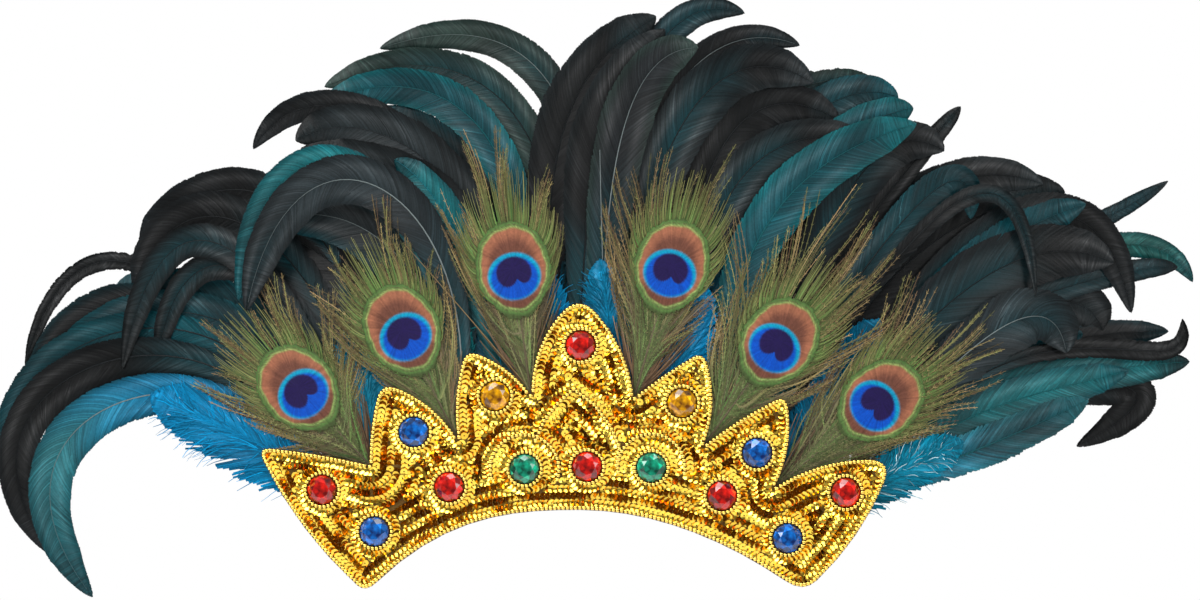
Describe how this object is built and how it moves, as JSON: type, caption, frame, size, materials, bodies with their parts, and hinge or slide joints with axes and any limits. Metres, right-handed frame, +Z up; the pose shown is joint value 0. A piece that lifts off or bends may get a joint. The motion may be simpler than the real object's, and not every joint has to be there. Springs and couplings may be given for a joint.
{
  "type": "feather headdress",
  "caption": "Carnival headdress: peaked gold sequin crown set with glass stones in bead rings, peacock eye feathers and a wide fan of curling dark cock-tail feathers.",
  "frame": {"origin": "middle of the crown panel's lower edge, on the panel's back face", "axes": "+X to the right in the front view, +Y towards the head and the feathers behind the panel, +Z up; the front faces -Y"},
  "size_m": [0.5777, 0.0902, 0.2868],
  "materials": {
    "sequined_gold": "cup sequins, shiny",
    "gold_beads": "metallic gold beads",
    "red_glass": "faceted, foil-backed",
    "amber_glass": "faceted, foil-backed",
    "green_glass": "faceted, foil-backed",
    "blue_glass": "faceted, foil-backed",
    "peacock_feather": "iridescent herls",
    "coque_black": "soft sheen",
    "coque_grey": "soft sheen",
    "coque_teal": "soft sheen"
  },
  "bodies": {
    "root": {"crown_panel": "sequined_gold", "edge_piping": "gold_beads", "gem_red_top": "red_glass", "gem_red_centre": "red_glass", "gem_amber_left": "amber_glass", "gem_amber_right": "amber_glass", "gem_green_left": "green_glass", "gem_green_right": "green_glass", "gem_blue_left_upper": "blue_glass", "gem_blue_right_upper": "blue_glass", "gem_red_left_lower": "red_glass", "gem_red_right_lower": "red_glass", "gem_blue_left_lower": "blue_glass", "gem_blue_right_lower": "blue_glass", "gem_red_left_end": "red_glass", "gem_red_right_end": "red_glass", "bead_ring_red_top": "gold_beads", "bead_ring_red_centre": "gold_beads", "bead_ring_amber_left": "gold_beads", "bead_ring_amber_right": "gold_beads", "bead_ring_green_left": "gold_beads", "bead_ring_green_right": "gold_beads", "bead_ring_blue_left_upper": "gold_beads", "bead_ring_blue_right_upper": "gold_beads", "bead_ring_red_left_lower": "gold_beads", "bead_ring_red_right_lower": "gold_beads", "bead_ring_blue_left_lower": "gold_beads", "bead_ring_blue_right_lower": "gold_beads", "bead_ring_red_left_end": "gold_beads", "bead_ring_red_right_end": "gold_beads", "peacock_left_outer": "peacock_feather", "peacock_left_middle": "peacock_feather", "peacock_left_inner": "peacock_feather", "peacock_right_inner": "peacock_feather", "peacock_right_middle": "peacock_feather", "peacock_right_outer": "peacock_feather", "coque_bunch_left_low": "coque_teal", "coque_bunch_left_mid": "coque_black", "coque_bunch_left_high": "coque_grey", "coque_bunch_left_top": "coque_black", "coque_bunch_crest_left": "coque_black", "coque_bunch_crest_right": "coque_black", "coque_bunch_right_top": "coque_black", "coque_bunch_right_high": "coque_teal", "coque_bunch_right_mid": "coque_black", "coque_bunch_right_low": "coque_teal"}
  },
  "joints": []
}
